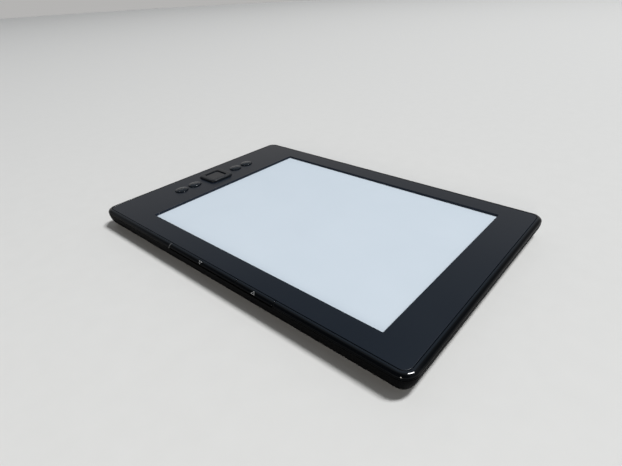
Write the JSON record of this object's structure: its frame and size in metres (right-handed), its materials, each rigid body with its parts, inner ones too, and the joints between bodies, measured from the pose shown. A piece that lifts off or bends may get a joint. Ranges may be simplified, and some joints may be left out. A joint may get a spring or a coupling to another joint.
{
  "type": "e-reader",
  "caption": "Slim dark e-reader with a flat pale paper-like screen, a rounded rim with page keys along both long sides, raised oval keys and a square five-way control below the screen.",
  "frame": {"origin": "centre of the flat back, on the surface the reader lies on", "axes": "+X to the reader's right as seen from the face, +Y from the key end to the far end, +Z from the back out of the face"},
  "size_m": [0.1146, 0.1658, 0.0099],
  "materials": {
    "face_plate": "fine matte",
    "rim": "satin",
    "cover": "soft matte",
    "key": "matte",
    "ring": "satin",
    "paper": "paper matte",
    "driver_glass": "smooth",
    "foam": "foam",
    "ribbon": "film",
    "inner_frame": "cast, bead blasted",
    "board": "solder mask",
    "chip": "moulded",
    "shield": "plated",
    "plug": "moulded",
    "switch": "moulded",
    "dome": "film over metal domes",
    "cell": "foil pouch",
    "pad": "adhesive foam",
    "lead_red": "sleeve",
    "lead_black": "sleeve",
    "gold": "gold plated",
    "clear": "clear",
    "led": "smooth",
    "copper": "film",
    "screw": "plated"
  },
  "bodies": {
    "chassis": {"front_bezel": "face_plate", "rim_frame": "rim", "rear_cover": "cover", "cover_contact_1": "gold", "cover_contact_2": "gold", "epaper_film": "paper", "tft_glass": "driver_glass", "display_gasket": "foam", "display_flex": "ribbon", "display_connector": "plug", "mid_frame": "inner_frame", "next_key_switch_right": "switch", "prev_key_switch_right": "switch", "next_key_switch_left": "switch", "prev_key_switch_left": "switch", "side_board_right": "board", "side_board_left": "board", "dome_sheet": "dome", "main_board": "board", "processor": "chip", "memory_chip": "chip", "storage_chip": "chip", "power_chip": "chip", "radio_module": "shield", "shield_can": "shield", "usb_shell": "shield", "usb_tongue": "chip", "power_switch": "switch", "light_pipe": "clear", "status_led": "led", "battery_cell": "cell", "battery_pad": "pad", "battery_board": "board", "battery_connector": "plug", "battery_wire_red": "lead_red", "battery_wire_black": "lead_black", "wifi_antenna": "copper", "antenna_cable": "lead_black", "rim_screw_1": "screw", "rim_screw_2": "screw", "rim_screw_3": "screw", "rim_screw_4": "screw", "board_screw_1": "screw", "board_screw_2": "screw", "board_screw_3": "screw", "board_screw_4": "screw"},
    "back_key": {"back_key": "key"},
    "keyboard_key": {"keyboard_key": "key"},
    "menu_key": {"menu_key": "key"},
    "home_key": {"home_key": "key"},
    "select_key": {"select_key": "key"},
    "rocker_backing": {"rocker_backing": "switch"},
    "rocker_ring": {"rocker_ring": "ring"},
    "next_key_right": {"next_key_right": "rim"},
    "prev_key_right": {"prev_key_right": "rim"},
    "next_key_left": {"next_key_left": "rim"},
    "prev_key_left": {"prev_key_left": "rim"},
    "power_button": {"power_button": "key"}
  },
  "joints": [
    {"name": "back_key_press", "type": "slide", "parent": "chassis", "child": "back_key", "axis": [0, 0, -1], "range_m": [0, 0.00035], "stiffness_N_per_m": 1500},
    {"name": "keyboard_key_press", "type": "slide", "parent": "chassis", "child": "keyboard_key", "axis": [0, 0, -1], "range_m": [0, 0.00035], "stiffness_N_per_m": 1500},
    {"name": "menu_key_press", "type": "slide", "parent": "chassis", "child": "menu_key", "axis": [0, 0, -1], "range_m": [0, 0.00035], "stiffness_N_per_m": 1500},
    {"name": "home_key_press", "type": "slide", "parent": "chassis", "child": "home_key", "axis": [0, 0, -1], "range_m": [0, 0.00035], "stiffness_N_per_m": 1500},
    {"name": "select_key_press", "type": "slide", "parent": "chassis", "child": "select_key", "axis": [0, 0, -1], "range_m": [0, 0.00035], "stiffness_N_per_m": 1500},
    {"name": "ring_tilt_up_down", "type": "hinge", "parent": "chassis", "child": "rocker_backing", "pos_m": [0, -0.06938, 0.00535], "axis": [1, 0, 0], "range_deg": [-2, 2], "stiffness_Nm_per_rad": 0.2},
    {"name": "ring_tilt_left_right", "type": "hinge", "parent": "rocker_backing", "child": "rocker_ring", "pos_m": [0, -0.06938, 0.0065], "axis": [0, 1, 0], "range_deg": [-2, 2], "stiffness_Nm_per_rad": 0.2},
    {"name": "next_key_right_press", "type": "hinge", "parent": "chassis", "child": "next_key_right", "pos_m": [0.05155, -0.00799, 0.00665], "axis": [0, 1, 0], "range_deg": [0, 4.5], "stiffness_Nm_per_rad": 0.0675},
    {"name": "prev_key_right_press", "type": "hinge", "parent": "chassis", "child": "prev_key_right", "pos_m": [0.05155, 0.02189, 0.00665], "axis": [0, 1, 0], "range_deg": [0, 4.5], "stiffness_Nm_per_rad": 0.0675},
    {"name": "next_key_left_press", "type": "hinge", "parent": "chassis", "child": "next_key_left", "pos_m": [-0.05155, -0.00799, 0.00665], "axis": [0, -1, 0], "range_deg": [0, 4.5], "stiffness_Nm_per_rad": 0.0675},
    {"name": "prev_key_left_press", "type": "hinge", "parent": "chassis", "child": "prev_key_left", "pos_m": [-0.05155, 0.02189, 0.00665], "axis": [0, -1, 0], "range_deg": [0, 4.5], "stiffness_Nm_per_rad": 0.0675},
    {"name": "power_button_press", "type": "slide", "parent": "chassis", "child": "power_button", "axis": [0, 1, 0], "range_m": [0, 0.0005], "stiffness_N_per_m": 2000}
  ]
}
